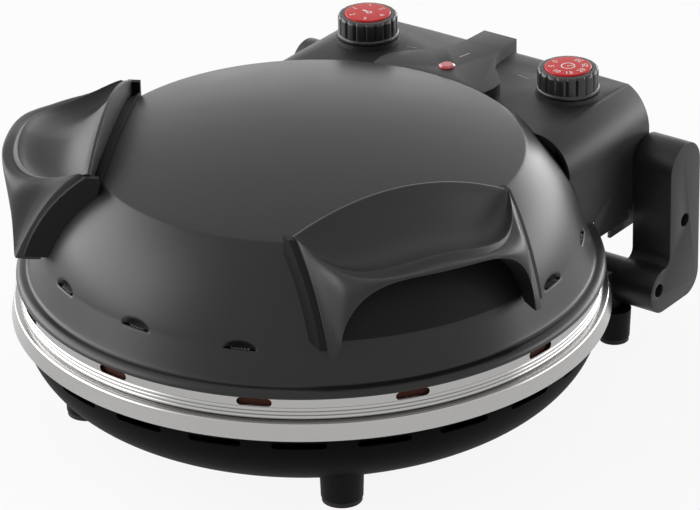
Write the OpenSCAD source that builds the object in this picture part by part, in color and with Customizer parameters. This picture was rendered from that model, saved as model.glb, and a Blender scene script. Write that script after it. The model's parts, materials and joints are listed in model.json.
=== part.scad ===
// Electric pizza maker: a round stone base under a hinged domed lid.
// The floor is z = 0, the dome's axis is the Z axis and the user stands at -Y.

/* [Base] */
// Outer radius of the lower steel band
band_r = 178; // [172:1:190]
// Height of the band's lower edge above the floor
band_z = 60; // [56:1:70]
// Height of the lower steel band
band_h = 10.2; // [9:0.2:14]
// Thickness of the steel sheet of both rings
ring_t = 1; // [0.8:0.1:1.4]
// Gap between the bowl's wall and the inside of the band
bowl_gap = 5; // [4:0.5:8]
// Wall of the bowl
bowl_t = 1.5; // [1.2:0.1:2.5]
// Height of the bowl's underside above the floor
bowl_z = 11; // [8:1:16]
// Radius of the bowl's flat underside
bowl_flat_r = 112; // [95:1:120]
// Number of long slots round the bowl
bowl_slots = 22; // [16:1:26]
// Length of a bowl slot
bowl_slot_l = 31; // [20:1:34]
// Height of a bowl slot
bowl_slot_h = 4; // [3:0.5:6]
// Thickness of the refractory stone
stone_t = 11; // [8:0.5:12]
// Clearance round the stone
stone_gap = 1.5; // [1:0.5:4]

/* [Feet] */
// Radius of a front foot at the floor
front_foot_r = 12.3; // [10:0.5:15]
// Distance of the front feet's middles inside the band
front_foot_in = 41; // [36:1:55]
// Angle of a front foot from the front
front_foot_a = 43; // [35:1:50]
// Radius of a rear foot
rear_foot_r = 9.5; // [8:0.5:11]
// Thickness of the rubber pads under the feet
pad_t = 3; // [2:0.5:5]

/* [Heating] */
// Radius of the sheathed heating elements
heater_tube_r = 3.3; // [3:0.1:4.5]
// Distance of the lower element's loop inside the band
lower_heater_in = 66; // [60:1:80]
// Distance of the upper element's loop inside the band
upper_heater_in = 74; // [66:1:88]
// Height of the upper element above the stone
upper_heater_rise = 36; // [30:1:38]

/* [Lid] */
// Height of the dome's top above the parting line
lid_h = 104.8; // [100:0.2:114]
// Distance of the soft crease round the dome's top inside the band
crease_in = 51; // [46:1:58]
// Rise of the dome's top above the crease
cap_rise = 16; // [13:0.5:20]
// Wall of the dome
lid_t = 1.2; // [1:0.1:2]
// Height of the upper steel ring
lid_ring_h = 14; // [12:0.5:16]
// Set-back of the upper ring from the lower band
lid_ring_in = 5; // [4:0.5:7]
// Gap at the parting line between lid and base
parting = 0.4; // [0.3:0.1:1]
// Angle between the louvres of the dome
louvre_pitch = 24; // [20:1:26]
// Width of a louvre
louvre_w = 21; // [14:1:24]
// Height of a louvre
louvre_h = 6; // [4:0.5:8]
// Number of slots round the upper ring
ring_slots = 12; // [8:1:14]
// Length of a ring slot
ring_slot_l = 19.5; // [14:0.5:24]
// Height of a ring slot
ring_slot_h = 4.3; // [3:0.1:4.6]

/* [Handles] */
// Angle of a handle's middle from the front
handle_a = 62; // [56:1:66]
// Length of a handle
handle_l = 133; // [116:1:140]
// Distance of the handle's rim inside the band
rim_in = 59; // [54:1:64]
// Height of the rim's middle above the crease
rim_h = 23.5; // [18:0.5:30]
// Fall of the rim towards its ends
rim_fall = 15.5; // [8:0.5:18]
// Drop of the grip's shelf below the rim's middle
shelf_drop = 25; // [20:0.5:28]
// Distance of the grip's outer edge inside the band
grip_in = 2; // [0:0.5:8]
// Thickness of the saddle between a handle and the dome
base_t = 2; // [1.5:0.1:4]
// Thickness of the saddle's cheeks beyond a handle's ends
cheek_t = 3.5; // [2:0.1:5]
// Height of the cheeks above the dome
cheek_h = 12.5; // [8:0.5:14]
// Distance of a handle's screws from its middle
screw_u = 30; // [24:1:40]

/* [Console] */
// Half of the width between the arms
arm_in_x = 115; // [110:1:120]
// Drop of the console's deck below the dome's top
deck_drop = 24; // [18:0.5:28]
// Distance of the console's back behind the band
console_back = 30; // [26:1:36]
// Wall of the console housing
console_t = 2.6; // [2:0.1:3.5]
// Height of the raised middle block above the deck
block_h = 7.5; // [4:0.5:12]
// Distance of each knob from the middle
knob_x = 74; // [66:1:80]
// Distance of the knobs from the console's back
knob_back = 45; // [38:1:50]
// Radius of a knob
knob_r = 19.1; // [16:0.1:22]
// Height of a knob
knob_h = 14; // [11:0.5:18]
// Number of ribs round a knob
knob_ribs = 18; // [12:1:26]
// Radius of a knob's dial disc
dial_r = 14.2; // [11:0.1:15]
// Radius of a control shaft
shaft_r = 3; // [2.5:0.1:4]
// Radius of the indicator lens
lens_r = 5; // [3.5:0.1:6]

/* [Hinge] */
// Distance of the hinge axis behind the band
hinge_back = 11.4; // [8:0.2:16]
// Height of the hinge axis above the parting line
hinge_h = 3.9; // [2.8:0.1:6.8]
// Radius of the hinge pins
pin_r = 3; // [2.5:0.1:3.6]
// Running clearance of the hinge pins
pin_gap = 0.05; // [0.02:0.01:0.1]
// Thickness of an arm
arm_t = 27; // [22:1:32]
// Width of an arm's upright
arm_w = 33; // [28:1:38]
// Height of an arm's top above the hinge axis
arm_rise = 50.9; // [44:0.1:60]
// Height of an arm's underside
arm_low_z = 21.8; // [18:0.2:26]
// Thickness of the lid's hinge plates
plate_t = 2; // [1.5:0.1:3]
// Radius of the recessed screw holes
recess_r = 4.3; // [4:0.1:6]

/* [Hidden] */
$fn = 96;
eps = 0.02;
seat = 0.2;                                   // clearance between pieces that seat on each other

// Base, from the band inwards
band_top_z = band_z + band_h;
bowl_r = band_r - ring_t - bowl_gap;          // outside of the bowl's upright rim
bowl_side_z = band_z - 2;                     // where the bowl's curve turns upright
pan_t = 1;
bead_r = 1.1;
pan_flange_z = band_top_z - ring_t - pan_t;   // the pan hangs on the bowl's rim
lip_r = bowl_r - 5;                           // inner edge of both rings' lips
stone_r = lip_r - 3 - stone_gap;
front_foot_d = band_r - front_foot_in;
stone_top_z = band_top_z - 4.2;
stone_z = stone_top_z - stone_t;
pan_floor_z = stone_z - 24;
lower_heater_z = stone_z - 13;
lower_heater_r = band_r - lower_heater_in;
upper_heater_r = band_r - upper_heater_in;
heater_end_x = 22;                            // cold ends of the elements
sleeve_r = heater_tube_r + 0.7;

// Lid, from the ring upwards
lid_z = band_top_z + parting;                 // underside of the upper ring
lid_top_z = band_top_z + lid_h;
crease_r = band_r - crease_in;
crease_z = lid_top_z - cap_rise;
ring_r = band_r - lid_ring_in;                // outside of the upper ring
flange_z = lid_z + lid_ring_h;                // lower edge of the dome's flange
flange_r = ring_r + seat + lid_t;
dome_foot_r = ring_r - 6;
dome_foot_z = flange_z + 6.4;
wall_r = ring_r - 12;                         // where the dome's wall turns into its shoulder
wall_z = flange_z + 24;
shoulder_a0 = 37;                             // slope of the shoulder at the crease
shoulder_a1 = 2 * atan2(crease_z - wall_z, wall_r - crease_r) - shoulder_a0;
shoulder_chord = norm([wall_r - crease_r, crease_z - wall_z]);
shoulder_r = shoulder_chord / (2 * sin((shoulder_a1 - shoulder_a0) / 2));
shoulder_c = [crease_r - shoulder_r * sin(shoulder_a0), crease_z - shoulder_r * cos(shoulder_a0)];
cap_r = (crease_r * crease_r + cap_rise * cap_rise) / (2 * cap_rise);
cap_a = asin(crease_r / cap_r);
louvre_z = flange_z + 19;
louvre_lean = atan2(dome_foot_r - wall_r, wall_z - dome_foot_z);
louvre_r = dome_foot_r + (wall_r - dome_foot_r) * (louvre_z - dome_foot_z) / (wall_z - dome_foot_z);
louvre_turns = [-5, -4, -1, 0, 1, 4, 5];
louvre_out = 2.3;                             // how far a hood stands out at its lower edge
ceiling_z = stone_top_z + upper_heater_rise + 17;
upper_heater_z = stone_top_z + upper_heater_rise;

// Handles, and the screws that come up into them through the dome
rim_v = band_r - rim_in;
rim_z = crease_z + rim_h;
shelf_z = rim_z - shelf_drop;
grip_r = band_r - grip_in;
screw_v = rim_v + 9;
screw_l = 12;
half_l = handle_l / 2;
grip_reach = grip_r - rim_v - 3;              // from the rim to the lip
end_reach = 4;                                // from the rim to the lip at a handle's ends
pillar_v = grip_r - 15;                       // outer edge of a pillar's foot
pillar_z = band_top_z + 40.8;                 // height of a pillar's foot
gap_l = half_l - 5;                           // half of the finger gap's length
seat_g = base_t + 2 * seat;                   // the handle's seat outside the dome
screw_z = shoulder_c[1] - 6
    + sqrt(pow(shoulder_r - lid_t, 2) - pow(norm([screw_v, screw_u]) - shoulder_c[0], 2));

// Console
console_back_y = band_r + console_back;
deck_z = lid_top_z - deck_drop;
side_x = arm_in_x - 0.6;
console_low_z = band_top_z + 5.8;
back_bow_r = 400;
knob_y = console_back_y - knob_back;
console_front_y = knob_y - 59;
block_top_z = deck_z + block_h;
lens_y = knob_y - 21;
boss_h = 3;
rib_r = 2.5;                                  // roundness of a knob's ribs
knob_z = deck_z + boss_h + 0.4;
inlet_z = deck_z - 39;
inlet_r = 7;
inlet_flange = 3;
corner_r = 24;                                // rounding between deck and sides
hinge_y = band_r + hinge_back;
hinge_z = band_top_z + hinge_h;
hinge_eye_r = pin_r + 5.5;                    // eye of the lid's hinge plate
hinge_floor_z = hinge_z + hinge_eye_r + 0.5;  // the housing clears the hinge's eyes
back_foot_y = console_back_y - 8;             // back wall's lower edge
floor_t = 2;                                  // console's floor plate
unit_r = 17;
unit_h = 26;

// Arms and hinge
arm_out_x = arm_in_x + arm_t;
arm_top_z = hinge_z + arm_rise;
lobe_r = 14;
step_r = 6;                                   // fillet between an arm's foot and its upright
lobe_y = hinge_y - 23.4;
low_screw = [hinge_y - 28.4, arm_low_z + 16];
rear_foot = [arm_in_x - 1, hinge_y - 34.4];
block_low_z = arm_low_z - 0.3;
head_x = arm_out_x - 18;                      // seat of the recessed screw heads
head_h = 3;
head_r = recess_r - 0.5;
back_reach = max(console_back_y + inlet_flange, hinge_y + arm_w / 2);
axis_y = (band_r - back_reach) / 2;           // the dome's axis from the middle of the footprint
plate_x = side_x - console_t - plate_t - 0.3; // inner face of the lid's hinge plate
bracket_x = plate_x - 12;                     // screws of the hinge plate's shelf
bracket_screw_y = [hinge_y - 30, hinge_y - 18];

function arc(c, r, a0, a1, n) =
    [for (i = [0:n]) let (a = a0 + (a1 - a0) * i / n) [c[0] + r * sin(a), c[1] + r * cos(a)]];
function flipped(p) = [for (i = [len(p) - 1:-1:0]) p[i]];

// Outline of the dome from its axis to the edge of its flange, drawn g outside the surface
function dome_line(g) = let (
    turn = (shoulder_a0 - cap_a) / 2,
    way = (shoulder_a0 + cap_a) / 2,
    last = (shoulder_a1 - shoulder_a0) / 12)
    concat(
        arc([0, lid_top_z - cap_r], cap_r + g, 0, cap_a * 11 / 12, 11),
        [[crease_r, crease_z] + g / cos(turn) * [sin(way), cos(way)]],
        arc(shoulder_c, shoulder_r + g, shoulder_a0 + last, shoulder_a1, 11),
        [[dome_foot_r + g, dome_foot_z]]);

// Rolled edge below the dome's wall: a groove and a rounded flange over the upper ring
function flange_line(g) = [
    [dome_foot_r + 1 + g, dome_foot_z - 1.6],
    [flange_r - 4.4 + g, flange_z + 4.1 + g / 2],
    [flange_r - 2.6 + g / 2, flange_z + 4.4 + g],
    [flange_r - 0.8 + g, flange_z + 3.6 + g / 2],
    [flange_r + g, flange_z + 2],
    [flange_r + g, flange_z]];

// Outline of the bowl from its flat underside to its upright rim, drawn g inside the surface
function bowl_line(g) = concat([[0, bowl_z + g]],
    [for (i = [0:14]) let (a = 90 * i / 14)
        [bowl_flat_r + (bowl_r - bowl_flat_r - g) * sin(a),
         bowl_side_z - (bowl_side_z - bowl_z - g) * cos(a)]],
    [[bowl_r - g, pan_flange_z]]);

module revolve(points) {
    rotate_extrude($fn = 180) polygon(points);
}

// A bar round the axis: a stadium seen from outside, cut through a wall
module round_slot(r, z, l, h, depth) {
    translate([r, 0, z]) rotate([0, 90, 0]) linear_extrude(depth, center = true) {
        square([h, l - h], center = true);
        for (s = [-1, 1]) translate([0, s * (l - h) / 2]) circle(d = h, $fn = 24);
    }
}

module pair() {
    children();
    mirror([1, 0, 0]) children();
}

// Moves the part from the dome's axis to the middle of its footprint
module place() translate([0, axis_y, 0]) children();

// ---- Base ----

module lower_shell() color("#141414") difference() {
    revolve(concat(bowl_line(0), flipped(bowl_line(bowl_t))));
    for (i = [0:bowl_slots - 1])
        rotate([0, 0, i * 360 / bowl_slots - 90])
            round_slot(bowl_r - 2, band_z - 5.5, bowl_slot_l, bowl_slot_h, 14);
    pair() translate([front_foot_d * sin(front_foot_a), -front_foot_d * cos(front_foot_a), 0])
        cylinder(r = 2.6, h = band_z);
    for (a = [0:120:240]) rotate([0, 0, a]) translate([70, 0, 0]) cylinder(r = 2.2, h = band_z);
}

// Rolled steel band with two beads under its inward lip
module base_ring() color("#b9bcc0") rotate_extrude($fn = 180) {
    translate([band_r - ring_t, band_z]) square([ring_t, band_h - 3.6]);
    translate([bowl_r + seat, band_z]) square([band_r - bowl_r - seat - eps, ring_t]);
    translate([band_r - 1.4, band_top_z - 3]) circle(bead_r, $fn = 32);
    translate([band_r - 2.8, band_top_z - 1.5]) circle(bead_r, $fn = 32);
    translate([lip_r, band_top_z - ring_t]) square([band_r - 2.8 - lip_r, ring_t]);
}

// Pan under the stone: a step carries the stone and the flange hangs on the bowl's rim
module lower_reflector() color("#9a9da1") difference() {
    rotate_extrude($fn = 180) {
        polygon([[0, pan_floor_z], [stone_r - 26, pan_floor_z], [stone_r - 10, pan_floor_z + 12],
                 [stone_r - 8, stone_z - pan_t], [stone_r + stone_gap + pan_t, stone_z - pan_t],
                 [stone_r + stone_gap + pan_t, pan_flange_z], [bowl_r, pan_flange_z],
                 [bowl_r, pan_flange_z + pan_t], [stone_r + stone_gap, pan_flange_z + pan_t],
                 [stone_r + stone_gap, stone_z], [stone_r - 9, stone_z],
                 [stone_r - 11, pan_floor_z + 12.5], [stone_r - 26.5, pan_floor_z + pan_t],
                 [0, pan_floor_z + pan_t]]);
    }
    for (s = [-1, 1]) translate([s * heater_end_x, end_y(lower_heater_r), pan_floor_z - 1])
        cylinder(r = sleeve_r + 0.3, h = 4);
}

module pan_spacers() color("#8d9094") {
    for (a = [0:120:240]) rotate([0, 0, a]) translate([70, 0, 0]) {
        translate([0, 0, bowl_z + bowl_t]) cylinder(r = 4.5, h = pan_floor_z - bowl_z - bowl_t);
        translate([0, 0, bowl_z - 2.4]) cylinder(r = 4, h = 2.4, $fn = 32);
        translate([0, 0, bowl_z - 1]) cylinder(r = 2, h = bowl_t + 2);
    }
}

// How far behind the axis the cold ends of a ring element stand
function end_y(r) = r * cos(asin(heater_end_x / r));

// Sheathed ring element whose two cold ends stand in sleeves at the back
module heater(r, z, end_h) {
    gap_a = asin(heater_end_x / r);
    translate([0, 0, z]) rotate([0, 0, 90 + gap_a])
        rotate_extrude(angle = 360 - 2 * gap_a, $fn = 120) translate([r, 0]) circle(heater_tube_r, $fn = 24);
    for (s = [-1, 1]) translate([s * heater_end_x, end_y(r), z - sleeve_r + min(0, end_h)])
        cylinder(r = sleeve_r, h = abs(end_h) + 2 * sleeve_r, $fn = 32);
}

module lower_heater() color("#3b3a39") heater(lower_heater_r, lower_heater_z, pan_floor_z - lower_heater_z - 6);

// Stirrups that hold an element: a foot on the sheet, a stem and a saddle
module heater_clips(r, z, sheet_z) {
    dir = sheet_z > z ? 1 : -1;
    for (a = [30:120:270]) rotate([0, 0, a]) translate([r, 0, 0]) difference() {
        union() {
            translate([-5, -5, min(sheet_z, sheet_z - dir)]) cube([10, 10, 1]);
            translate([-5, -0.6, min(z, sheet_z)]) cube([10, 1.2, abs(sheet_z - z)]);
        }
        translate([0, 0, z]) rotate([90, 0, 0])
            cylinder(r = heater_tube_r + seat, h = 12, center = true, $fn = 24);
    }
}

module lower_heater_clips() color("#a6a9ad")
    heater_clips(lower_heater_r, lower_heater_z - heater_tube_r, pan_floor_z + pan_t);

module refractory_stone() color("#c9b59a") rotate_extrude($fn = 180)
    polygon([[0, stone_z], [stone_r - 1, stone_z], [stone_r, stone_z + 1], [stone_r, stone_top_z - 1.5],
             [stone_r - 1.5, stone_top_z], [0, stone_top_z]]);

// Depth of the bowl's underside at radius r, from its elliptical curve
function bowl_under(r) = r < bowl_flat_r ? bowl_z :
    bowl_side_z - (bowl_side_z - bowl_z) * sqrt(1 - pow((r - bowl_flat_r) / (bowl_r - bowl_flat_r), 2));

module at_front_feet() pair()
    translate([front_foot_d * sin(front_foot_a), -front_foot_d * cos(front_foot_a), 0]) children();

module bowl_solid(g) revolve(concat([[0, bowl_z - g]],
    [for (i = [0:14]) let (a = 90 * i / 14)
        [bowl_flat_r + (bowl_r - bowl_flat_r + g) * sin(a),
         bowl_side_z - (bowl_side_z - bowl_z + g) * cos(a)]],
    [[bowl_r + g, band_z + 30], [0, band_z + 30]]));

module front_feet() color("#101010") difference() {
    at_front_feet() translate([0, 0, pad_t])
        cylinder(r1 = front_foot_r, r2 = front_foot_r + 0.7, h = bowl_under(front_foot_d + front_foot_r));
    bowl_solid(0);
    at_front_feet() cylinder(r = 2.2, h = band_z);
}

module rear_feet() color("#101010") pair() translate([rear_foot[0], rear_foot[1], pad_t])
    cylinder(r1 = rear_foot_r, r2 = rear_foot_r + 0.8, h = block_low_z - pad_t);

module foot_pads() color("#1b1b1b") {
    at_front_feet() cylinder(r = front_foot_r - 0.5, h = pad_t);
    pair() translate([rear_foot[0], rear_foot[1], 0]) cylinder(r = rear_foot_r - 0.5, h = pad_t);
}

// ---- Arms and hinge ----

// Side view of an arm: an upright with a round top, and a foot that steps forward
module arm_outline() {
    front_y = hinge_y - arm_w / 2;
    foot_z = arm_low_z + 2 * lobe_r;
    translate([hinge_y, arm_top_z - arm_w / 2]) circle(arm_w / 2);
    translate([front_y, arm_low_z + lobe_r]) square([arm_w, arm_top_z - arm_w / 2 - arm_low_z - lobe_r]);
    translate([front_y + arm_w - lobe_r, arm_low_z + lobe_r]) circle(lobe_r, $fn = 48);
    translate([lobe_y, arm_low_z]) square([front_y + arm_w - lobe_r - lobe_y, 2 * lobe_r]);
    translate([lobe_y, arm_low_z + lobe_r]) circle(lobe_r, $fn = 48);
    translate([front_y - step_r, foot_z - eps]) difference() {
        square(step_r + eps);
        translate([0, step_r]) circle(step_r, $fn = 32);
    }
}

// Turns a side view drawn in Y and Z into a plate between two X positions
module side_plate(x0, x1) {
    translate([x0, 0, 0]) rotate([90, 0, 90]) linear_extrude(x1 - x0) children();
}

module along_x(x0, x1, y, z, r, n = 32) {
    translate([x0, y, z]) rotate([0, 90, 0]) cylinder(r = r, h = x1 - x0, $fn = n);
}

module arm() difference() {
    side_plate(arm_in_x, arm_out_x) arm_outline();
    along_x(head_x, arm_out_x + 1, hinge_y, hinge_z, recess_r);
    along_x(head_x, arm_out_x + 1, low_screw[0], low_screw[1], recess_r);
    along_x(arm_in_x - 1, arm_out_x, hinge_y, hinge_z, pin_r);
    along_x(arm_in_x - 1, arm_out_x, low_screw[0], low_screw[1], 2.5);
}

module arm_right() color("#262626") arm();
module arm_left() color("#262626") mirror([1, 0, 0]) arm();

// Block between the bowl and an arm: it carries the arm's foot and the rear foot
module hinge_block() difference() {
    union() {
        side_plate(arm_in_x - 24, arm_in_x) {
            translate([lobe_y, block_low_z + lobe_r]) circle(lobe_r - 0.5, $fn = 48);
            translate([lobe_y - lobe_r + 0.5, block_low_z]) square([2 * lobe_r - 6, lobe_r]);
        }
        translate([0, 0, block_low_z + 1]) linear_extrude(2 * lobe_r - 6)
            polygon([[arm_in_x - 38, 112], [arm_in_x - 8, 118], [arm_in_x - 2, lobe_y - 8],
                     [arm_in_x - 2, lobe_y + 6], [arm_in_x - 23, lobe_y + 6]]);
    }
    bowl_solid(seat);
    along_x(arm_in_x - 16, arm_in_x + 1, low_screw[0], low_screw[1], 2.1);
}

module hinge_block_right() color("#161616") hinge_block();
module hinge_block_left() color("#161616") mirror([1, 0, 0]) hinge_block();

module arm_screws() color("#c8cacd") pair() {
    along_x(head_x, head_x + head_h, low_screw[0], low_screw[1], head_r);
    along_x(arm_in_x - 15, head_x, low_screw[0], low_screw[1], 2.1);
}

// Shoulder pins: a head in the arm's recess and a collar behind the lid's plate
module hinge_pins() color("#c8cacd") pair() {
    along_x(head_x, head_x + head_h, hinge_y, hinge_z, head_r);
    along_x(plate_x - 4, head_x, hinge_y, hinge_z, pin_r);
    along_x(plate_x - 3.6, plate_x - 0.4, hinge_y, hinge_z, pin_r + 2);
}

// Plate on the lid's side that turns on a pin, with a shelf under the console's floor
module hinge_bracket() difference() {
    union() {
        side_plate(plate_x, plate_x + plate_t) {
            translate([hinge_y, hinge_z]) circle(hinge_eye_r, $fn = 48);
            translate([hinge_y - 36, hinge_z - 6]) square([36, 12]);
            translate([hinge_y - 36, hinge_z - 6]) square([24, hinge_floor_z - hinge_z + 6]);
        }
        translate([plate_x - 22, hinge_y - 36, hinge_floor_z - plate_t]) cube([22 + eps, 24, plate_t]);
    }
    along_x(plate_x - 1, plate_x + plate_t + 1, hinge_y, hinge_z, pin_r + pin_gap, 48);
    for (y = bracket_screw_y) translate([bracket_x, y, hinge_z]) cylinder(r = 2, h = 30);
}

module hinge_bracket_right() color("#d4d6d9") hinge_bracket();
module hinge_bracket_left() color("#d4d6d9") mirror([1, 0, 0]) hinge_bracket();

// ---- Lid ----

// Places children on the dome's wall at an angle from the front
module at_louvre(a) rotate([0, 0, a - 90]) translate([louvre_r, 0, louvre_z]) rotate([0, -louvre_lean, 0])
    children();

// Half-round hood with a straight lower edge; it stands out most at that edge
module hood(inset) intersection() {
    disc = (pow(louvre_w / 2, 2) + louvre_h * louvre_h) / (2 * louvre_h);
    translate([-4, 0, louvre_h - disc]) rotate([0, 90, 0]) cylinder(r = disc - inset, h = 12, $fn = 64);
    translate([-4, -louvre_w, inset > 0 ? -0.2 : 0]) cube([12, 2 * louvre_w, 2 * louvre_h]);
    translate([louvre_out - inset, 0, 0]) rotate([0, -atan(louvre_out / louvre_h), 0])
        translate([-12, -louvre_w, -10]) cube([12, 2 * louvre_w, 40]);
}

module lid_shell() color("#171717") difference() {
    union() {
        revolve(concat(dome_line(0), flange_line(0), flipped(flange_line(-lid_t)), flipped(dome_line(-lid_t))));
        for (i = louvre_turns) at_louvre(i * louvre_pitch) hood(0);
    }
    for (i = louvre_turns) at_louvre(i * louvre_pitch) hood(0.9);
    at_handles() handle_bores(2);
}

// Upper steel ring: an inward lip at the parting line, two beads and a slotted wall
module lid_ring() color("#b9bcc0") difference() {
    rotate_extrude($fn = 180) {
        translate([ring_r - ring_t, lid_z]) square([ring_t, lid_ring_h + 2]);
        translate([lip_r, lid_z]) square([ring_r - lip_r - eps, ring_t]);
        for (i = [0:2]) translate([ring_r, lid_z + 1.6 + 2.3 * i]) circle(bead_r, $fn = 32);
    }
    for (i = [0:ring_slots - 1]) rotate([0, 0, i * 360 / ring_slots - 90 - 4.5])
        round_slot(ring_r, flange_z - ring_slot_h / 2 - 0.6, ring_slot_l, ring_slot_h, 8);
}

// Polished dish inside the lid, on the upper ring's lip
module lid_reflector() color("#c4c7ca") {
    z0 = lid_z + ring_t;
    difference() {
        rotate_extrude($fn = 180)
            polygon([[0, ceiling_z], [wall_r - 43, ceiling_z], [wall_r - 18, ceiling_z - 16],
                     [wall_r - 4, z0 + 14], [ring_r - 9, z0 + 3], [ring_r - 9, z0], [ring_r - 2 * ring_t, z0],
                     [ring_r - 2 * ring_t, z0 + 1], [ring_r - 8, z0 + 1], [ring_r - 8, z0 + 3.5],
                     [wall_r - 3, z0 + 14.5], [wall_r - 17.3, ceiling_z - 15], [wall_r - 42.8, ceiling_z + 1],
                     [0, ceiling_z + 1]]);
        for (s = [-1, 1]) translate([s * heater_end_x, end_y(upper_heater_r), ceiling_z - 8])
            cylinder(r = sleeve_r + 0.3, h = 16);
    }
}

module upper_heater() color("#3b3a39") heater(upper_heater_r, upper_heater_z, ceiling_z - upper_heater_z + 8);

module upper_heater_clips() color("#a6a9ad")
    heater_clips(upper_heater_r, upper_heater_z + heater_tube_r, ceiling_z);

// The dome as a solid, grown by g, for seating the pieces that stand on it
module dome_solid(g) revolve(concat(dome_line(g), flange_line(g), [[flange_r + g, band_z], [0, band_z]]));

// ---- Handles ----

// Local frame of a handle: outward is +X, towards the rear of the dome is +Y
module at_handles() pair() at_handle() children();
module at_handle() rotate([0, 0, handle_a - 90]) children();

// Height of the finger gap's arch, a superellipse between the two pillars
function arch_z(u) = abs(u) >= gap_l ? pillar_z :
    pillar_z + (shelf_z - pillar_z) * pow(1 - pow(abs(u) / gap_l, 4), 0.55);

// Lip between the scoop and the outer face, as (distance from the axis, height)
function lip_at(t) = [rim_v + end_reach + (grip_reach - end_reach) * pow(max(0, 1 - pow(t, 3)), 0.78),
                      shelf_z + 2.5 - 11 * pow(t, 1.6) + (rim_z - rim_fall - shelf_z + 8.5) * pow(t, 6)];

// Radius of the seat over the base at a height, and height of the seat at a radius
function seat_radius(z) = z < wall_z
    ? wall_r + seat_g + (dome_foot_r - wall_r) * (wall_z - z) / (wall_z - dome_foot_z)
    : shoulder_c[0] + sqrt(pow(shoulder_r + seat_g, 2) - pow(z - shoulder_c[1], 2));
function seat_height(r) = r < crease_r
    ? lid_top_z - cap_r + sqrt(pow(cap_r + seat_g, 2) - r * r)
    : r < wall_r + seat_g
    ? shoulder_c[1] + sqrt(pow(shoulder_r + seat_g, 2) - pow(r - shoulder_c[0], 2))
    : wall_z - (r - wall_r - seat_g) * (wall_z - dome_foot_z) / (dome_foot_r - wall_r);

function bezier(p, q, r, f) = (1 - f) * (1 - f) * p + 2 * f * (1 - f) * q + f * f * r;
function smooth(f) = let (g = min(1, max(0, f))) g * g * (3 - 2 * g);

// Share of the way from the rim to the lip, how far down from rim to lip, and depth of the scoop
scoop = [[0.12, 0.45, 0], [0.22, 0.70, 1], [0.32, 0.86, 3.2], [0.43, 0.95, 4.9], [0.58, 1, 5.8],
         [0.76, 1, 5.2], [0.91, 1, 2.4]];

// One section of the handle: seat on the dome, rim, scoop, lip, outer face and underside
function handle_section(u) = let (
    t = abs(u) / half_l,
    rim = [rim_v, rim_z - rim_fall * t * t],
    lip = lip_at(t),
    corner = smooth((t - 0.85) / 0.15),
    outer = [grip_r + 5.5 - 18 * pow(t, 2.2), shelf_z + 2.5 - 2 * t * t],
    bend = (1 - corner) * outer + corner * [pillar_v - 15, shelf_z - 5],
    foot_z = arch_z(u),
    foot = [grip_r + 3.5 - 18 * pow(t, 2.2) + 2 * corner, foot_z],
    inner_z = foot_z - 11 * (foot_z - pillar_z) / (shelf_z - pillar_z),
    inner_v = sqrt(pow(seat_radius(inner_z), 2) - u * u),
    sag = 0.3 + (foot_z - pillar_z) / (shelf_z - pillar_z),
    back_v = rim[0] - 2.5)
    concat(
        [for (i = [0:8]) let (v = inner_v + (back_v - inner_v) * i / 8) [v, seat_height(norm([u, v]))]],
        [[rim[0] - 2, rim[1] - 1.4], [rim[0] - 0.8, rim[1] - 0.2], rim + [0.6, 0]],
        [for (s = scoop) [rim[0] + (lip[0] - rim[0]) * s[0],
            rim[1] + (lip[1] - rim[1]) * s[1] - s[2] * (lip[0] - rim[0]) / grip_reach]],
        [for (i = [0:6]) bezier(lip, bend, foot, i / 6)],
        [for (f = [0.15, 0.45, 0.75]) foot + f * ([inner_v, inner_z] - foot) - [0, sag * sin(180 * f)]]);

// Stations along the handle, closer together where the gap's arch turns down
stations = [0, 0.12, 0.24, 0.36, 0.47, 0.57, 0.66, 0.73, 0.785, 0.825, 0.855, 0.88, 0.9, 0.915, 0.925,
            0.935, 0.955, 0.98, 1];

module handle() {
    us = concat([for (i = [len(stations) - 1:-1:1]) -half_l * stations[i]], half_l * stations);
    sections = [for (u = us) handle_section(u)];
    n = len(sections[0]);
    difference() {
        polyhedron(
            points = [for (k = [0:len(us) - 1]) for (p = sections[k]) [p[0], us[k], p[1]]],
            faces = concat(
                [[for (i = [0:n - 1]) i]],
                [for (k = [0:len(us) - 2]) for (i = [0:n - 1]) let (j = (i + 1) % n)
                    [k * n + i, (k + 1) * n + i, (k + 1) * n + j]],
                [for (k = [0:len(us) - 2]) for (i = [0:n - 1]) let (j = (i + 1) % n)
                    [k * n + i, (k + 1) * n + j, k * n + j]],
                [[for (i = [n - 1:-1:0]) (len(us) - 1) * n + i]]));
        handle_bores(1.4, screw_z + screw_l + 1);
    }
}

module handle_right() color("#202020") at_handle() handle();
module handle_left() color("#202020") mirror([1, 0, 0]) at_handle() handle();

// Slice of the space over the dome between two distances along a handle, up to a height
module saddle_slab(u0, u1, top_z) translate([rim_v - 13, u0, pillar_z - 4])
    cube([band_r, u1 - u0, top_z - pillar_z + 4]);

// Heat-proof saddle under a handle, with a cheek that stands up against each of its ends
module handle_base() difference() {
    union() {
        intersection() {
            dome_solid(seat + base_t);
            at_handle() saddle_slab(-half_l - cheek_t, half_l + cheek_t, lid_top_z);
        }
        intersection() {
            revolve(concat(dome_line(cheek_h), [[dome_foot_r + cheek_h, band_z], [0, band_z]]));
            at_handle() for (s = [0, 1]) mirror([0, s, 0])
                saddle_slab(half_l + seat, half_l + cheek_t, rim_z - rim_fall - 1);
        }
    }
    dome_solid(seat);
    at_handle() handle_bores(2);
}

module handle_base_right() color("#0e0e0e") handle_base();
module handle_base_left() color("#0e0e0e") mirror([1, 0, 0]) handle_base();

module handle_bores(r, top_z = lid_top_z) for (s = [-1, 1])
    translate([screw_v, s * screw_u, flange_z]) cylinder(r = r, h = top_z - flange_z, $fn = 24);

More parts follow.
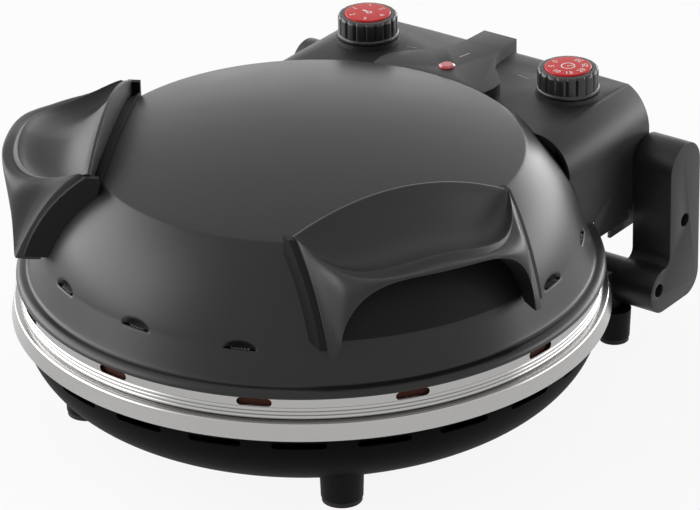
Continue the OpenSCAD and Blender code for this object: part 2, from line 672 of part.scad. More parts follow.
module handle_screws() color("#a6a9ad") at_handles() for (s = [-1, 1])
    translate([screw_v, s * screw_u, screw_z]) {
        cylinder(r = 1.4, h = screw_l);
        cylinder(r = 4, h = 2.4);
    }

// ---- Console ----

// Plan of the housing: a back that bows outwards
module console_plan(g) intersection() {
    translate([0, console_back_y - back_bow_r]) circle(back_bow_r - g, $fn = 360);
    translate([-side_x - 20, console_front_y]) square([2 * side_x + 40, 2 * side_x]);
}

// Rear view: a flat deck that rounds down into the sides
module console_rear(g) {
    corner_x = side_x - corner_r;
    corner_z = deck_z - corner_r;
    for (s = [-1, 1]) translate([s * corner_x, corner_z]) circle(corner_r - g);
    translate([-corner_x, corner_z]) square([2 * corner_x, corner_r - g]);
    translate([-side_x + g, 0]) square([2 * (side_x - g), corner_z]);
}

// Side view of the housing; the hollow, drawn g inside it, runs out at the open underside
module console_side(g) {
    low = g > 0 ? 5 : 0;
    front_y = console_front_y - 10 - low;
    step_y = hinge_y - 21;                    // the floor steps up behind this over the hinge
    polygon([
        [front_y, band_z - low],
        [front_y, deck_z + 6 - g],
        [console_front_y + 14, deck_z + 6 - g],
        [knob_y - 20, deck_z + 0.5 - g],
        [console_back_y - 12, deck_z - 0.5 - g],
        [console_back_y - 4 - g, deck_z - 4 - g],
        [console_back_y - g, deck_z - 12],
        [console_back_y - g, hinge_floor_z + 17],
        [back_foot_y - g, hinge_floor_z],
        [back_foot_y - g, hinge_floor_z - low],
        [step_y, hinge_floor_z - low],
        [step_y, console_low_z - low],
        [console_front_y + 30, console_low_z - low],
        [console_front_y + 18, band_z - low]]);
}

module console_form(g) intersection() {
    linear_extrude(lid_top_z) console_plan(g);
    rotate([90, 0, 0]) translate([0, 0, -console_back_y - 10])
        linear_extrude(console_back_y + 10) console_rear(g);
    side_plate(-side_x - 10, side_x + 10) console_side(g);
}

// Raised block between the knobs: narrow at the back, flaring towards the dome
module block_plan() {
    half = [[12, back_foot_y], [13, knob_y + 18], [14.5, knob_y + 10], [18, knob_y + 4],
            [24, knob_y - 5], [34, knob_y - 15], [41, knob_y - 24], [42, knob_y - 32], [40, knob_y - 44]];
    polygon(concat(half, [for (p = flipped(half)) [-p[0], p[1]]]));
}

module knob_boss() translate([0, 0, deck_z - 8]) cylinder(r = knob_r + 0.6, h = boss_h + 8);

module at_knobs() for (s = [-1, 1]) translate([s * knob_x, knob_y, 0]) children();

module console_housing() color("#1f1f1f") difference() {
    union() {
        console_form(0);
        at_knobs() knob_boss();
        translate([0, 0, deck_z - 4]) linear_extrude(block_h + 4) block_plan();
    }
    difference() {
        console_form(console_t);
        translate([0, 0, deck_z - 12]) cylinder(r = dome_foot_r - 20, h = 30);
    }
    dome_solid(0.3);
    at_knobs() translate([0, 0, deck_z - 12]) cylinder(r = shaft_r + 1, h = 30, $fn = 32);
    translate([0, lens_y, deck_z - 10]) cylinder(r = lens_r + 0.1, h = 30, $fn = 48);
    translate([0, console_back_y + 5, inlet_z]) rotate([90, 0, 0]) cylinder(r = inlet_r, h = 20, $fn = 48);
}

module console_base() color("#232323") difference() {
    translate([0, 0, hinge_floor_z]) linear_extrude(floor_t) difference() {
        intersection() {
            console_plan(console_t + seat);
            square([2 * (side_x - console_t - seat), 2 * back_reach], center = true);
            translate([-side_x, hinge_y - 40])
                square([2 * side_x, back_foot_y - console_t - seat - hinge_y + 40]);
        }
        circle(flange_r + 1.5);
    }
    pair() for (y = bracket_screw_y)
        translate([bracket_x, y, hinge_z]) cylinder(r = 1.9, h = 30);
}

module console_screws() color("#c8cacd") pair() for (y = bracket_screw_y)
    translate([bracket_x, y, 0]) {
        translate([0, 0, hinge_floor_z - plate_t - 2]) cylinder(r = 3.6, h = 2, $fn = 32);
        translate([0, 0, hinge_floor_z - plate_t - 1]) cylinder(r = 1.9, h = 12, $fn = 32);
    }

module control_unit(x, square_case) translate([x, knob_y, 0]) difference() {
    union() {
        if (square_case) translate([-unit_r, -unit_r + 4, deck_z - console_t - unit_h - 0.6])
            cube([2 * unit_r, 2 * unit_r - 4, unit_h]);
        else translate([0, 2, deck_z - console_t - unit_h - 0.6]) cylinder(r = unit_r, h = unit_h);
        translate([0, 0, deck_z - console_t - 1]) cylinder(r = 6, h = 1, $fn = 48);
    }
    translate([0, 0, deck_z - console_t - 12]) cylinder(r = shaft_r + pin_gap, h = 20, $fn = 48);
}

module thermostat_unit() color("#d9d4c6") control_unit(-knob_x, false);
module timer_unit() color("#8f9296") control_unit(knob_x, true);

module lamp_holder() color("#e6e2d8") translate([0, lens_y, block_top_z - 6])
    cylinder(r = lens_r - 0.8, h = 3.4, $fn = 48);

module indicator_lens() color("#c41218") translate([0, lens_y, block_top_z]) difference() {
    union() {
        translate([0, 0, -2.4]) cylinder(r = lens_r, h = 3, $fn = 48);
        translate([0, 0, 0.6]) cylinder(r1 = lens_r, r2 = lens_r - 1.4, h = 1, $fn = 48);
    }
    translate([0, 0, -3]) cylinder(r = lens_r - 0.7, h = 3, $fn = 48);
}

module terminal_block() color("#e9e6dd") translate([-18, console_back_y - 30, hinge_floor_z + floor_t])
    difference() {
        cube([36, 12, 14]);
        for (i = [0:2]) translate([6 + 12 * i, 6, 7]) cylinder(r = 2.4, h = 10, $fn = 24);
    }

module cord_inlet() color("#0f0f0f") translate([0, console_back_y, inlet_z]) rotate([90, 0, 0]) difference() {
    union() {
        translate([0, 0, -inlet_flange]) cylinder(r = inlet_r + 2, h = inlet_flange);
        cylinder(r = inlet_r - 0.1, h = 8);
    }
    translate([0, 0, -inlet_flange - 1]) cylinder(r = inlet_r - 3, h = 14, $fn = 48);
}

// ---- Knobs ----

module knob() difference() {
    union() {
        cylinder(r = knob_r, h = 3, $fn = 96);
        cylinder(r = knob_r - 1.2, h = knob_h, $fn = 96);
        for (i = [0:knob_ribs - 1]) rotate([0, 0, i * 360 / knob_ribs])
            translate([knob_r - 2.8, 0, 1]) cylinder(r = rib_r, h = knob_h - 2, $fn = 24);
    }
    translate([0, 0, knob_h - 1.2]) cylinder(r = dial_r + 0.1, h = 3);
    translate([0, 0, -1]) cylinder(r = shaft_r, h = knob_h - 2, $fn = 48);
}

module dial_disc() rotate_extrude($fn = 96)
    polygon([[0, -1.2], [dial_r, -1.2], [dial_r, 0], [dial_r - 1.5, 0.6], [dial_r * 0.6, 0.9], [0, 1]]);

module control_shaft() translate([0, 0, deck_z - console_t - 11])
    cylinder(r = shaft_r, h = knob_z - deck_z + console_t + 11 + knob_h - 4, $fn = 48);

module thermostat_knob() color("#101010") translate([-knob_x, knob_y, knob_z]) knob();
module thermostat_disc() color("#c4161c") translate([-knob_x, knob_y, knob_z + knob_h]) dial_disc();
module thermostat_shaft() color("#b5b8bb") translate([-knob_x, knob_y, 0]) control_shaft();
module timer_knob() color("#101010") translate([knob_x, knob_y, knob_z]) knob();
module timer_disc() color("#c4161c") translate([knob_x, knob_y, knob_z + knob_h]) dial_disc();
module timer_shaft() color("#b5b8bb") translate([knob_x, knob_y, 0]) control_shaft();

place() lower_shell();
place() base_ring();
place() lower_reflector();
place() pan_spacers();
place() lower_heater();
place() lower_heater_clips();
place() refractory_stone();
place() front_feet();
place() rear_feet();
place() foot_pads();
place() hinge_block_left();
place() hinge_block_right();
place() arm_left();
place() arm_right();
place() arm_screws();
place() hinge_pins();
place() lid_shell();
place() lid_ring();
place() lid_reflector();
place() upper_heater();
place() upper_heater_clips();
place() handle_left();
place() handle_right();
place() handle_base_left();
place() handle_base_right();
place() handle_screws();
place() console_housing();
place() console_base();
place() console_screws();
place() hinge_bracket_left();
place() hinge_bracket_right();
place() thermostat_unit();
place() timer_unit();
place() lamp_holder();
place() indicator_lens();
place() terminal_block();
place() cord_inlet();
place() thermostat_knob();
place() thermostat_disc();
place() thermostat_shaft();
place() timer_knob();
place() timer_disc();
place() timer_shaft();
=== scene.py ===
import json
import math

import bmesh
import bpy
from bpy.props import FloatProperty, FloatVectorProperty, IntProperty, PointerProperty
from mathutils import Matrix, Vector


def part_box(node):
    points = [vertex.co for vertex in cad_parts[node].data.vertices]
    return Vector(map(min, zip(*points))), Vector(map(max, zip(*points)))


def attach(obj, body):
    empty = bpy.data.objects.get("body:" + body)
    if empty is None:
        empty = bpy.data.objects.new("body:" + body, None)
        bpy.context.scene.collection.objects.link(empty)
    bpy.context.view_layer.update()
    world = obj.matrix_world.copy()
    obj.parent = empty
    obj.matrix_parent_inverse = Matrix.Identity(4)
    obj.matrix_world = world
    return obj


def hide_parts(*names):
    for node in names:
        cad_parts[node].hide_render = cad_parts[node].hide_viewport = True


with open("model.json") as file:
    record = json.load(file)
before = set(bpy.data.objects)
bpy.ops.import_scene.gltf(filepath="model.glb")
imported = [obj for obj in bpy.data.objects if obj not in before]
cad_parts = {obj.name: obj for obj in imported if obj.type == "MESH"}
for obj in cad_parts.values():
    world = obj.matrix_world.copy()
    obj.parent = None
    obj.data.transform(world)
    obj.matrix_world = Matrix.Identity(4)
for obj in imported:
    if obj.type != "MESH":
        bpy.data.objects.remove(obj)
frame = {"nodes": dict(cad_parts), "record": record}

bl_info = {
    "name": "Electric pizza maker",
    "version": (1, 0, 0),
    "blender": (4, 5, 0),
    "location": "3D View > Sidebar > Pizza Maker",
    "description": "Finishes and fine pieces of an electric pizza maker over its CAD frame",
    "category": "Object",
}

NODES = frame["nodes"]
BODY_OF = {n: body for body, names in frame["record"]["behaviour"]["bodies"].items() for n in names}
MM = 0.001
TAU = 2 * math.pi
WELD = 1e-6                             # points closer than this many metres are one

# the dome's outside, in millimetres: centre height and radius of its cap, then of its shoulder's arc
CAP_Z, CAP_R = -337.031, 512.031
SHOULDER, SHOULDER_R = (70.798, 84.418), 93.387
CREASE_R = 127                          # where the cap ends
SEAT = 2.4                              # from the dome to a grip that sits on it


def middle(node):
    """Centre of a CAD node's box."""
    low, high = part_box(node)
    return (low + high) / 2


AXIS_Y = middle("base_ring").y          # the dome's axis stands at x = 0 and this y


# ---------------------------------------------------------------- shader maths


class Wire:
    """A socket that Python's operators join to others through Math nodes."""

    def __init__(self, finish, socket):
        self.finish = finish
        self.socket = socket

    def join(self, operation, *values):
        return self.finish.node("ShaderNodeMath", {"operation": operation}, dict(enumerate(values)))

    def __add__(self, other):
        return self.join("ADD", self, other)

    def __sub__(self, other):
        return self.join("SUBTRACT", self, other)

    def __rsub__(self, other):
        return self.join("SUBTRACT", other, self)

    def __mul__(self, other):
        return self.join("MULTIPLY", self, other)

    def __truediv__(self, other):
        return self.join("DIVIDE", self, other)

    def root(self):
        return self.join("SQRT", self)

    __radd__ = __add__
    __rmul__ = __mul__


class Finish:
    """A node tree under construction, with a short way to add each node."""

    def __init__(self, tree):
        self.tree = tree
        tree.nodes.clear()

    def node(self, kind, settings=None, values=None, output=0):
        """Adds a node: its type, settings, the values or wires of its sockets, and what it gives."""
        node = self.tree.nodes.new(kind)
        for key, value in (settings or {}).items():
            setattr(node, key, value)
        for key, value in (values or {}).items():
            if isinstance(value, Wire):
                self.tree.links.new(value.socket, node.inputs[key])
            else:
                node.inputs[key].default_value = value
        if isinstance(output, tuple):
            return [Wire(self, node.outputs[key]) for key in output]
        return Wire(self, node.outputs[output])

    def position(self):
        """Object coordinates about the dome's axis, in metres."""
        place = self.node("ShaderNodeTexCoord", output="Object")
        return self.node("ShaderNodeMapping", None, {"Vector": place, "Location": (0, -AXIS_Y, 0)})

    def split(self, vector):
        """The three parts of a vector."""
        return self.node("ShaderNodeSeparateXYZ", None, {0: vector}, (0, 1, 2))

    def rays(self):
        """Shares of camera rays, of mirror rays (glossy or transmitted) and of diffuse rays."""
        camera, glossy, through, diffuse = self.node("ShaderNodeLightPath", output=(
            "Is Camera Ray", "Is Glossy Ray", "Is Transmission Ray", "Is Diffuse Ray"))
        return camera, glossy + through, diffuse

    def noise(self, place, scale, detail=2, roughness=0.5):
        """Noise between 0 and 1; scale is in features per metre."""
        return self.node("ShaderNodeTexNoise", None,
                         {"Vector": place, "Scale": scale, "Detail": detail, "Roughness": roughness})

    def mix(self, factor, first, second):
        """Colour between two colours."""
        return self.node("ShaderNodeMix", {"data_type": "RGBA"}, {0: factor, 6: first, 7: second}, 2)

    def span(self, value, low, high, to_low=0.0, to_high=1.0):
        """Value moved from one range to another and held inside it."""
        return self.node("ShaderNodeMapRange", None,
                         {0: value, 1: low, 2: high, 3: to_low, 4: to_high})

    def bump(self, height, strength, distance):
        return self.node("ShaderNodeBump", None,
                         {"Height": height, "Strength": strength, "Distance": distance})

    def surface(self, values):
        """Ends the material in a Principled BSDF."""
        shader = self.node("ShaderNodeBsdfPrincipled", None, values)
        self.node_output("ShaderNodeOutputMaterial", shader)

    def node_output(self, kind, shader):
        end = self.tree.nodes.new(kind)
        self.tree.links.new(shader.socket, end.inputs["Surface"])


def rgb(*colour):
    """Colour socket value of three linear shares."""
    return (*colour, 1)


def material(name):
    made = bpy.data.materials.new(name)
    made.use_nodes = True
    return made, Finish(made.node_tree)


def satin_enamel(name, tone, roughness, specular):
    """Baked-on satin black with a faint orange peel."""
    made, f = material(name)
    place = f.position()
    cloud = f.noise(place, 14, 3)
    peel = f.noise(place, 700, 2)
    f.surface({
        "Base Color": f.mix(cloud, rgb(*(0.8 * c for c in tone)), rgb(*(1.2 * c for c in tone))),
        "Roughness": f.span(cloud, 0.3, 0.7, roughness - 0.03, roughness + 0.03),
        "Specular IOR Level": specular,
        "Normal": f.bump(peel, 0.05, 0.1 * MM)})
    return made


def moulded_plastic(name, tone, roughness, specular):
    """Black plastic with the fine spark-eroded grain of its mould."""
    made, f = material(name)
    place = f.position()
    cloud = f.noise(place, 20, 3)
    grains = f.noise(place, 1500, 3, 0.6)
    f.surface({
        "Base Color": f.mix(cloud, rgb(*(0.82 * c for c in tone)), rgb(*(1.18 * c for c in tone))),
        "Roughness": f.span(grains, 0.25, 0.75, roughness - 0.07, roughness + 0.07),
        "Specular IOR Level": specular,
        "Normal": f.bump(grains, 0.25, 0.15 * MM)})
    return made


def rolled_steel(name, tone, roughness):
    """Steel sheet whose faint brushing runs round the dome's axis."""
    made, f = material(name)
    place = f.position()
    x, y, z = f.split(place)
    turn = x.join("ARCTAN2", x, y)
    radius = (x * x + y * y).root()
    line = f.node("ShaderNodeCombineXYZ", None, {0: turn * 3.0, 1: z * 3500, 2: radius * 3500})
    brushing = f.noise(line, 1, 2, 0.6)
    cloud = f.noise(place, 12, 2)
    f.surface({
        "Base Color": f.mix(brushing, rgb(*(0.93 * c for c in tone)), rgb(*tone)),
        "Metallic": 1.0,
        "Roughness": f.span(cloud, 0.3, 0.7, roughness - 0.03, roughness + 0.05),
        "Normal": f.bump(brushing, 0.12, 0.02 * MM)})
    return made


def plain_metal(name, tone, roughness):
    """Plated or bare sheet and wire with fine scratches."""
    made, f = material(name)
    place = f.position()
    cloud = f.noise(place, 90, 3)
    fine = f.noise(place, 1800, 2)
    f.surface({
        "Base Color": f.mix(cloud, rgb(*(0.88 * c for c in tone)), rgb(*tone)),
        "Metallic": 1.0,
        "Roughness": f.span(cloud, 0.3, 0.7, roughness - 0.04, roughness + 0.05),
        "Normal": f.bump(fine, 0.08, 0.05 * MM)})
    return made


def fired_stone(name, tone):
    """Pale refractory stone: sandy grain, dark specks and a few toasted patches."""
    made, f = material(name)
    place = f.position()
    patch = f.noise(place, 16, 4, 0.6)
    sand = f.noise(place, 900, 3, 0.7)
    specks = f.span(f.noise(place, 420, 1), 0.66, 0.72)
    toast = f.span(patch, 0.55, 0.75)
    body = f.mix(sand, rgb(*(0.78 * c for c in tone)), rgb(*tone))
    body = f.mix(toast * 0.45, body, rgb(0.36, 0.22, 0.11))
    f.surface({
        "Base Color": f.mix(specks * 0.5, body, rgb(0.12, 0.09, 0.07)),
        "Roughness": 0.9,
        "Normal": f.bump(sand, 0.4, 0.3 * MM)})
    return made


def sheath(name):
    """Heating element's sheath, dull from heat with a brown cast."""
    made, f = material(name)
    place = f.position()
    cloud = f.noise(place, 60, 4, 0.6)
    f.surface({
        "Base Color": f.mix(cloud, rgb(0.05, 0.045, 0.042), rgb(0.13, 0.09, 0.065)),
        "Metallic": 0.7,
        "Roughness": f.span(cloud, 0.3, 0.7, 0.42, 0.6),
        "Normal": f.bump(f.noise(place, 1600, 2), 0.2, 0.1 * MM)})
    return made


def gloss(name, tone, roughness, specular=0.5):
    """Smooth moulded piece or ink."""
    made, f = material(name)
    cloud = f.noise(f.position(), 120, 2)
    f.surface({
        "Base Color": f.mix(cloud, rgb(*(0.9 * c for c in tone)), rgb(*tone)),
        "Roughness": f.span(cloud, 0.3, 0.7, roughness - 0.03, roughness + 0.03),
        "Specular IOR Level": specular})
    return made


def clear_red(name):
    """Tinted transparent plastic of the indicator lens."""
    made, f = material(name)
    depth = f.noise(f.position(), 500, 2)
    f.surface({
        "Base Color": f.mix(depth, rgb(0.35, 0.0, 0.01), rgb(0.75, 0.01, 0.02)),
        "Roughness": 0.08,
        "IOR": 1.5,
        "Transmission Weight": 0.35,
        "Coat Weight": 1.0,
        "Coat Roughness": 0.03})
    return made


# ---------------------------------------------------------------- mesh helpers


def merged(node):
    """A bmesh copy of a CAD node: triangles joined, flat faces whole."""
    bm = bmesh.new()
    bm.from_mesh(NODES[node].data)
    bmesh.ops.remove_doubles(bm, verts=bm.verts, dist=WELD)
    bmesh.ops.dissolve_limit(bm, angle_limit=math.radians(0.6), verts=bm.verts, edges=bm.edges)
    return bm


def sharp_edges(bm, angle):
    limit = math.radians(angle)
    return [e for e in bm.edges if e.is_manifold and e.calc_face_angle(0) > limit]


def round_edges(bm, edges, width):
    bmesh.ops.bevel(bm, geom=edges, offset=width, offset_type="OFFSET", affect="EDGES",
                    segments=3, profile=0.5, material=-1, clamp_overlap=True, loop_slide=True)


def piece(name, bm, body, paint, angle=32, replaced=()):
    """Turns a bmesh into a named piece that rides on a body."""
    mesh = bpy.data.meshes.new(name)
    bm.to_mesh(mesh)
    bm.free()
    old = mesh.attributes.get("custom_normal")
    if old:
        mesh.attributes.remove(old)
    mesh.shade_smooth()
    mesh.set_sharp_from_angle(angle=math.radians(angle))
    mesh.materials.clear()
    mesh.materials.append(paint)
    made = bpy.data.objects.new(name, mesh)
    bpy.context.scene.collection.objects.link(made)
    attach(made, body)
    if replaced:
        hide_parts(*replaced)
    return made


def softened(name, node, width, paint):
    """A CAD node's own shape with its sharp edges rounded, in the node's place."""
    bm = merged(node)
    round_edges(bm, sharp_edges(bm, 30), width)
    return piece(name, bm, BODY_OF[node], paint, replaced=(node,))


def dress(paint, *names):
    """Gives CAD nodes that keep their own mesh their finish."""
    for name in names:
        NODES[name].data.materials.clear()
        NODES[name].data.materials.append(paint)


def arc(centre, radius, first, last, steps):
    """Points of a profile's arc: (radius, height) in millimetres, angles in degrees from upright."""
    turns = [math.radians(first + (last - first) * i / steps) for i in range(steps + 1)]
    return [(centre[0] + radius * math.sin(a), centre[1] + radius * math.cos(a)) for a in turns]


def spun(line, centre=(0.0, AXIS_Y), closed=True, sectors=((TAU, 200),)):
    """Turned shape about an upright axis, from a profile of (radius, height) in millimetres."""
    bm = bmesh.new()
    verts = [bm.verts.new((centre[0] + r * MM, centre[1], z * MM)) for r, z in line]
    pairs = list(zip(verts, verts[1:])) + ([(verts[-1], verts[0])] if closed else [])
    last = verts + [bm.edges.new(pair) for pair in pairs]
    for angle, steps in sectors:
        last = bmesh.ops.spin(bm, geom=last, cent=(*centre, 0), axis=(0, 0, 1), angle=angle,
                              steps=steps)["geom_last"]
    bmesh.ops.remove_doubles(bm, verts=bm.verts, dist=WELD)
    bmesh.ops.recalc_face_normals(bm, faces=bm.faces)
    outward = sum(f.normal.dot(f.calc_center_median() - Vector((*centre, 0.1))) * f.calc_area()
                  for f in bm.faces)
    if not closed and outward < 0:
        bmesh.ops.reverse_faces(bm, faces=bm.faces)
    return bm


def eased(before, corner, after, reach):
    """Three points that round a profile's corner, at most a share of the way to its neighbours."""
    ends = []
    for other in (before, after):
        gap = math.hypot(other[0] - corner[0], other[1] - corner[1])
        share = min(0.45, reach / max(gap, 1e-6))
        ends.append(tuple(c + (o - c) * share for c, o in zip(corner, other)))
    middle_point = tuple((a + 2 * c + b) / 4 for a, c, b in zip(ends[0], corner, ends[1]))
    return [ends[0], middle_point, ends[1]]


def stadiums(count, phase, radius, height, length, width, depth):
    """Upright bars with round ends, set round the dome's axis to cut slots with."""
    bm = bmesh.new()
    for i in range(count):
        new = bmesh.ops.create_cube(bm, size=1)["verts"]
        bmesh.ops.scale(bm, vec=(depth * MM, length * MM, width * MM), verts=new)
        ends = [e for e in bm.edges if e.verts[0] in new
                and abs((e.verts[0].co - e.verts[1].co).normalized().x) > 0.9]
        made = bmesh.ops.bevel(bm, geom=ends, offset=0.499 * width * MM, offset_type="OFFSET",
                               affect="EDGES", segments=7, profile=0.5, material=-1)
        whole = list({v for f in made["faces"] for v in f.verts})
        bmesh.ops.translate(bm, vec=(radius * MM, 0, height * MM), verts=whole)
        turn = Matrix.Rotation(math.radians(phase - 90) + TAU * i / count, 3, "Z")
        bmesh.ops.rotate(bm, cent=(0, 0, 0), matrix=turn, verts=whole)
        bmesh.ops.translate(bm, vec=(0, AXIS_Y, 0), verts=whole)
    return bm


def cut(bm, knives):
    """The first bmesh less the second, through an exact Boolean that is applied at once."""
    pair = []
    for name, shape in (("blank", bm), ("knives", knives)):
        mesh = bpy.data.meshes.new(name)
        shape.to_mesh(mesh)
        shape.free()
        pair.append(bpy.data.objects.new(name, mesh))
        bpy.context.scene.collection.objects.link(pair[-1])
    step = pair[0].modifiers.new("cut", "BOOLEAN")
    step.operation, step.solver, step.object = "DIFFERENCE", "EXACT", pair[1]
    graph = bpy.context.evaluated_depsgraph_get()
    result = bmesh.new()
    result.from_mesh(bpy.data.meshes.new_from_object(pair[0].evaluated_get(graph)))
    for made in pair:
        bpy.data.objects.remove(made)
    return result


def figure(bm, words, height, thickness, place):
    """Adds plain lettering to a bmesh, laid flat and moved by a matrix."""
    curve = bpy.data.curves.new("figure", "FONT")
    curve.body, curve.size, curve.extrude = words, height / 0.7, thickness / 2
    curve.align_x, curve.align_y, curve.resolution_u = "CENTER", "CENTER", 4
    made = bpy.data.objects.new("figure", curve)
    bpy.context.scene.collection.objects.link(made)
    mesh = bpy.data.meshes.new_from_object(made.evaluated_get(bpy.context.evaluated_depsgraph_get()))
    bpy.data.objects.remove(made)
    mesh.transform(place)
    bm.from_mesh(mesh)


def slab(bm, size, place):
    """Adds a thin printed bar to a bmesh: its size, then the matrix that moves it."""
    new = bmesh.ops.create_cube(bm, size=1)["verts"]
    bmesh.ops.scale(bm, vec=size, verts=new)
    bmesh.ops.transform(bm, matrix=place, verts=new)


# ---------------------------------------------------------------- sizes and colours


class StageLook(bpy.types.PropertyGroup):
    left_wall: FloatProperty(name="Left wall", description="Strength of the bright wall on the left",
                             default=5.6, min=0.0)
    right_wall: FloatProperty(name="Right wall", description="Strength of the bright wall at the right back",
                              default=6.2, min=0.0)
    back_wall: FloatProperty(name="Back wall", description="Strength of the low bright strip behind",
                             default=2.6, min=0.0)
    spread: FloatProperty(name="Wall spread", description="Share of the walls' light on matt surfaces",
                          default=0.55, min=0.0, max=1.0)
    dark: FloatProperty(name="Dark side", description="Strength of the rest of the studio",
                        default=0.04, min=0.0)
    top_power: FloatProperty(name="Top light", description="Power of the overhead light",
                             default=0.8, min=0.0, unit="POWER")
    ambient: FloatProperty(name="Ambient", description="Strength of the studio's diffuse light",
                           default=0.35, min=0.0)
    distance: FloatProperty(name="Camera distance", description="From the camera to the middle of its view",
                            default=2.7, min=0.5, unit="LENGTH", subtype="DISTANCE")
    azimuth: FloatProperty(name="Camera azimuth", description="Round the object, from its front",
                           default=math.radians(36.21), subtype="ANGLE")
    elevation: FloatProperty(name="Camera elevation", description="Above the table",
                             default=math.radians(26.22), subtype="ANGLE")
    roll: FloatProperty(name="Camera roll", description="Turn of the camera about its view",
                        default=math.radians(-0.99), subtype="ANGLE")
    lens: FloatProperty(name="Lens", description="Focal length in millimetres for a 36 mm sensor",
                        default=233.74, min=10.0)


class ShellLook(bpy.types.PropertyGroup):
    enamel: FloatVectorProperty(name="Enamel", description="Colour of the dome and the bowl",
                                default=(0.0085, 0.0082, 0.0080), size=3, min=0, max=1, subtype="COLOR")
    enamel_roughness: FloatProperty(name="Enamel roughness", description="Roughness of the satin enamel",
                                    default=0.36, min=0.0, max=1.0, subtype="FACTOR")
    steel: FloatVectorProperty(name="Steel", description="Colour of the two steel rings",
                               default=(0.42, 0.415, 0.41), size=3, min=0, max=1, subtype="COLOR")
    steel_roughness: FloatProperty(name="Steel roughness", description="Roughness of the two steel rings",
                                   default=0.2, min=0.0, max=1.0, subtype="FACTOR")
    plastic: FloatVectorProperty(name="Plastic", description="Colour of the grips, console and arms",
                                 default=(0.010, 0.010, 0.0102), size=3, min=0, max=1, subtype="COLOR")
    edge: FloatProperty(name="Edge rounding", description="Radius on the edges of moulded pieces",
                        default=0.0009, min=0.0001, max=0.003, unit="LENGTH", subtype="DISTANCE")


class DialLook(bpy.types.PropertyGroup):
    red: FloatVectorProperty(name="Disc red", description="Colour of the dial discs",
                             default=(0.52, 0.0, 0.0015), size=3, min=0, max=1, subtype="COLOR")
    figure: FloatProperty(name="Figure height", description="Height of the figures on the discs",
                          default=0.0036, min=0.001, max=0.006, unit="LENGTH", subtype="DISTANCE")
    ribs: IntProperty(name="Ribs", description="Ribs round a knob", default=18, min=8, max=30)


# ---------------------------------------------------------------- operators


class PIZZA_OT_stage(bpy.types.Operator):
    """Sets up the pale floor, the studio light and the camera"""

    bl_idname = "pizza_maker.stage"
    bl_label = "Stage"

    # bright walls: azimuth, outer and inner half width in degrees, height where it ends and is full
    LEFT, RIGHT, BACK = (-158, 52, 26, 0.90, 0.45), (68, 42, 34, 0.46, 0.26), (132, 64, 44, 0.22, 0.05)
    WHITE = 0.9                 # share of pure white in the floor, to the eye and in mirrors

    def execute(self, context):
        look = context.scene.pizza_stage
        self.camera(context, look)
        self.floor(context)
        self.world(context, look)
        self.softbox(context, "softbox_top", look.top_power, (0.1, 0.5, 1.7), (1.2, 0.9))
        context.scene.view_settings.view_transform = "Standard"
        return {"FINISHED"}

    def camera(self, context, look):
        """Places the camera at the photograph's viewing angle."""
        a, e, r = look.azimuth, look.elevation, look.roll
        back = Vector((math.sin(a) * math.cos(e), -math.cos(a) * math.cos(e), math.sin(e)))
        level = Vector((math.cos(a), math.sin(a), 0))
        upward = back.cross(level)
        right = level * math.cos(r) + upward * math.sin(r)
        top = upward * math.cos(r) - level * math.sin(r)
        aim = Vector((0, AXIS_Y, 0.06)) + right * 0.0226 + top * 0.0258
        data = bpy.data.cameras.new("camera")
        data.sensor_width = 36
        data.lens = look.lens
        data.clip_start, data.clip_end = 0.05, 50
        camera = bpy.data.objects.new("camera", data)
        context.scene.collection.objects.link(camera)
        camera.matrix_world = Matrix.Translation(aim + back * look.distance) @ Matrix(
            (right, top, back)).transposed().to_4x4()
        context.scene.camera = camera

    def floor(self, context):
        """A wide pale floor that shows white and keeps a faint shadow."""
        bm = bmesh.new()
        bmesh.ops.create_circle(bm, cap_ends=True, radius=12, segments=96)
        mesh = bpy.data.meshes.new("floor")
        bm.to_mesh(mesh)
        bm.free()
        floor = bpy.data.objects.new("floor", mesh)
        context.scene.collection.objects.link(floor)
        made, f = material("pale_floor")
        camera, mirror, _ = f.rays()
        matt = f.node("ShaderNodeBsdfDiffuse", None, {"Color": rgb(0.80, 0.80, 0.80)})
        glow = f.node("ShaderNodeEmission", None, {"Color": rgb(1, 1, 1), "Strength": 1.0})
        f.node_output("ShaderNodeOutputMaterial",
                      f.node("ShaderNodeMixShader", None,
                             {0: (camera + mirror) * self.WHITE, 1: matt, 2: glow}))
        mesh.materials.append(made)

    def world(self, context, look):
        """White to the eye and at least white in mirrors; its walls light the object softly."""
        world = bpy.data.worlds.new("studio")
        world.use_nodes = True
        context.scene.world = world
        f = Finish(world.node_tree)
        x, y, z = f.split(f.node("ShaderNodeTexCoord", output="Generated"))
        flat = (x * x + y * y + 1e-6).root()

        def panel(azimuth, outer, inner, top, full):
            """A soft-edged bright wall round one azimuth, fading upwards between two heights."""
            a = math.radians(azimuth)
            aligned = (x * math.cos(a) + y * math.sin(a)) / flat
            side = f.span(aligned, math.cos(math.radians(outer)), math.cos(math.radians(inner)))
            return side * f.span(z, top, full)

        light = panel(*self.LEFT) * look.left_wall + panel(*self.RIGHT) * look.right_wall \
            + panel(*self.BACK) * look.back_wall + look.dark
        camera, mirror, diffuse = f.rays()
        lit = light * (1 - diffuse * (1 - look.spread)) + diffuse * look.ambient
        strength = camera + (1 - camera) * lit.join("MAXIMUM", mirror, lit)
        f.node_output("ShaderNodeOutputWorld",
                      f.node("ShaderNodeBackground", None, {"Color": rgb(1, 1, 1), "Strength": strength}))

    def softbox(self, context, name, power, place, size):
        data = bpy.data.lights.new(name, "AREA")
        data.shape = "RECTANGLE"
        data.size, data.size_y = size
        data.energy = power
        lamp = bpy.data.objects.new(name, data)
        context.scene.collection.objects.link(lamp)
        lamp.location = place
        lamp.rotation_euler = (Vector(place) - Vector((0, 0, 0.08))).to_track_quat("Z", "Y").to_euler()


